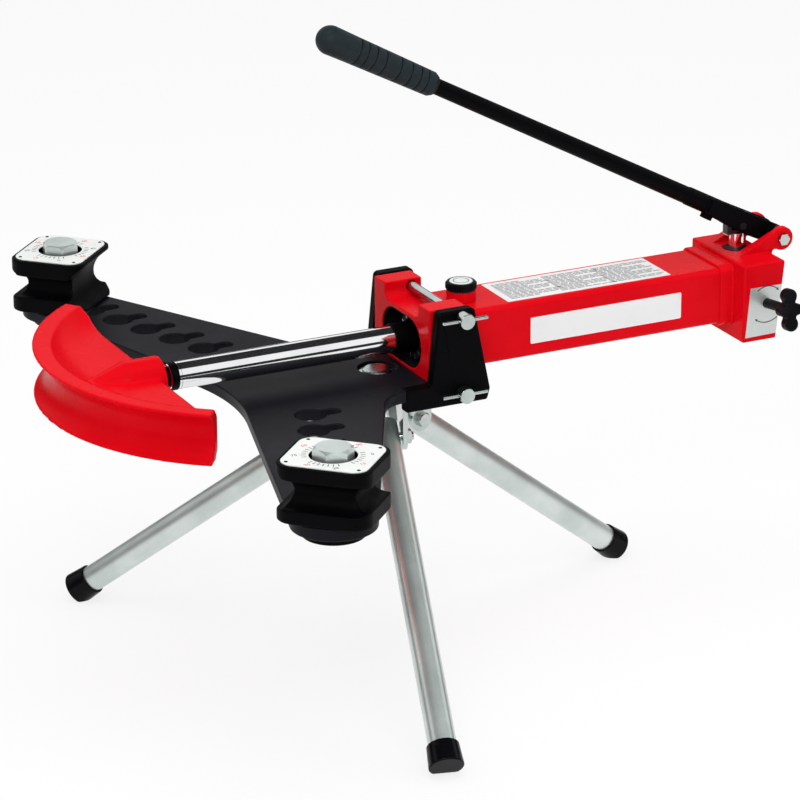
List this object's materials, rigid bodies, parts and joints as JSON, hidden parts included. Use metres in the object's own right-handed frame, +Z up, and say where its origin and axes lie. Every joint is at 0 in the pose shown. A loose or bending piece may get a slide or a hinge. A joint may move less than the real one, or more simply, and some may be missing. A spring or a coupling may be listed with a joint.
{
  "type": "hydraulic pipe bender",
  "caption": "Hand-pumped hydraulic pipe bender: a chromed ram pushes a curved former between two grooved corner blocks on a winged plate that stands on a folding tripod.",
  "frame": {"origin": "on the floor, below the middle of the part's length and on the ram's axis", "axes": "+X runs along the ram from the former to the pump, +Y across to the far wing, +Z up"},
  "size_m": [0.7924, 0.7492, 0.635],
  "materials": {
    "black_paint": "satin black paint over steel and castings",
    "red_paint": "gloss red paint over castings and tube",
    "chrome": "hard chrome, polished",
    "zinc": "bright zinc plate",
    "steel": "machined steel, lightly oiled",
    "rubber": "matt black rubber",
    "black_plastic": "moulded black plastic, slightly grained",
    "white_plate": "printed white aluminium plate"
  },
  "bodies": {
    "frame": {"wing_plate": "black_paint", "cheek_near": "black_paint", "cheek_far": "black_paint", "pin_collars": "black_paint", "ram_head": "red_paint", "reservoir": "red_paint", "filler_neck": "red_paint", "cylinder_tube": "steel", "cylinder_nut": "steel", "gland_bush": "steel", "rod_wiper": "rubber", "pump_block": "red_paint", "plunger_bush": "steel", "check_balls": "chrome", "check_springs": "steel", "check_plugs": "steel", "pivot_bolt": "zinc", "pivot_nut": "zinc", "spring_anchor": "steel", "return_spring": "steel", "hub_bolt": "zinc", "hub_nut": "zinc", "tripod_hub": "zinc", "leg_bolts": "zinc", "leg_nuts": "zinc"},
    "front_leg": {"leg_front": "zinc", "foot_front": "rubber"},
    "rear_leg": {"leg_rear": "zinc", "foot_rear": "rubber"},
    "far_leg": {"leg_far": "zinc", "foot_far": "rubber"},
    "ram": {"ram_rod": "chrome", "ram_nose": "steel", "piston": "steel", "piston_seal": "rubber"},
    "former": {"bending_former": "red_paint"},
    "near_corner": {"corner_former_near": "black_paint", "scale_plate_near": "white_plate"},
    "far_corner": {"corner_former_far": "black_paint", "scale_plate_far": "white_plate"},
    "near_pin": {"corner_pin_near": "zinc"},
    "far_pin": {"corner_pin_far": "zinc"},
    "lever": {"lever_yoke": "black_paint", "lever_tube": "black_paint", "lever_grip": "rubber", "clamp_bolt": "zinc", "link_pin": "steel"},
    "plunger": {"pump_plunger": "chrome"},
    "valve": {"release_spindle": "black_plastic", "release_knob": "black_plastic"},
    "cap": {"filler_cap": "black_plastic", "cap_seal": "rubber"},
    "upper_lock": {"lock_pin_upper": "chrome", "lock_bar_upper": "chrome"},
    "lower_lock": {"lock_pin_lower": "chrome", "lock_bar_lower": "chrome"}
  },
  "joints": [
    {"name": "front_leg_fold", "type": "hinge", "parent": "frame", "child": "front_leg", "pos_m": [-0.0646, -0.03864, 0.228], "axis": [0.9659, -0.2588, 0], "range_deg": [0, 50]},
    {"name": "rear_leg_fold", "type": "hinge", "parent": "frame", "child": "rear_leg", "pos_m": [-0.01561, 0.01035, 0.228], "axis": [-0.2588, 0.9659, 0], "range_deg": [0, 50]},
    {"name": "far_leg_fold", "type": "hinge", "parent": "frame", "child": "far_leg", "pos_m": [-0.08253, 0.02828, 0.228], "axis": [-0.7071, -0.7071, 0], "range_deg": [0, 50]},
    {"name": "ram_stroke", "type": "slide", "parent": "frame", "child": "ram", "axis": [-1, 0, 0], "range_m": [-0.22, 0.03], "deforming": ["return_spring"]},
    {"name": "former_slip", "type": "slide", "parent": "ram", "child": "former", "axis": [-1, 0, 0], "range_m": [0, 0.055]},
    {"name": "near_corner_swivel", "type": "hinge", "parent": "frame", "child": "near_corner", "pos_m": [-0.25425, -0.322, 0.313], "axis": [0, 0, 1], "continuous": true},
    {"name": "far_corner_swivel", "type": "hinge", "parent": "frame", "child": "far_corner", "pos_m": [-0.25425, 0.322, 0.313], "axis": [0, 0, 1], "continuous": true},
    {"name": "near_pin_lift", "type": "slide", "parent": "frame", "child": "near_pin", "axis": [0, 0, 1], "range_m": [0, 0.085]},
    {"name": "far_pin_lift", "type": "slide", "parent": "frame", "child": "far_pin", "axis": [0, 0, 1], "range_m": [0, 0.085]},
    {"name": "lever_pump", "type": "hinge", "parent": "frame", "child": "lever", "pos_m": [0.38425, 0, 0.3605], "axis": [0, 1, 0], "range_deg": [-22, 16]},
    {"name": "plunger_stroke", "type": "slide", "parent": "frame", "child": "plunger", "axis": [0, 0, 1], "range_m": [-0.0145, 0.0105]},
    {"name": "release_turn", "type": "hinge", "parent": "frame", "child": "valve", "pos_m": [0.34925, -0.059, 0.307], "axis": [0, -0.9903, 0.1392], "range_deg": [0, 270]},
    {"name": "cap_turn", "type": "hinge", "parent": "frame", "child": "cap", "pos_m": [0.03675, 0, 0.342], "axis": [0, 0, 1], "range_deg": [0, 300]},
    {"name": "upper_lock_pull", "type": "slide", "parent": "frame", "child": "upper_lock", "axis": [0, -1, 0], "range_m": [0, 0.15]},
    {"name": "lower_lock_pull", "type": "slide", "parent": "frame", "child": "lower_lock", "axis": [0, -1, 0], "range_m": [0, 0.15]}
  ],
  "couplings": [
    {"joint": "plunger_stroke", "follows": "lever_pump", "m_per_rad": 0.0365}
  ]
}
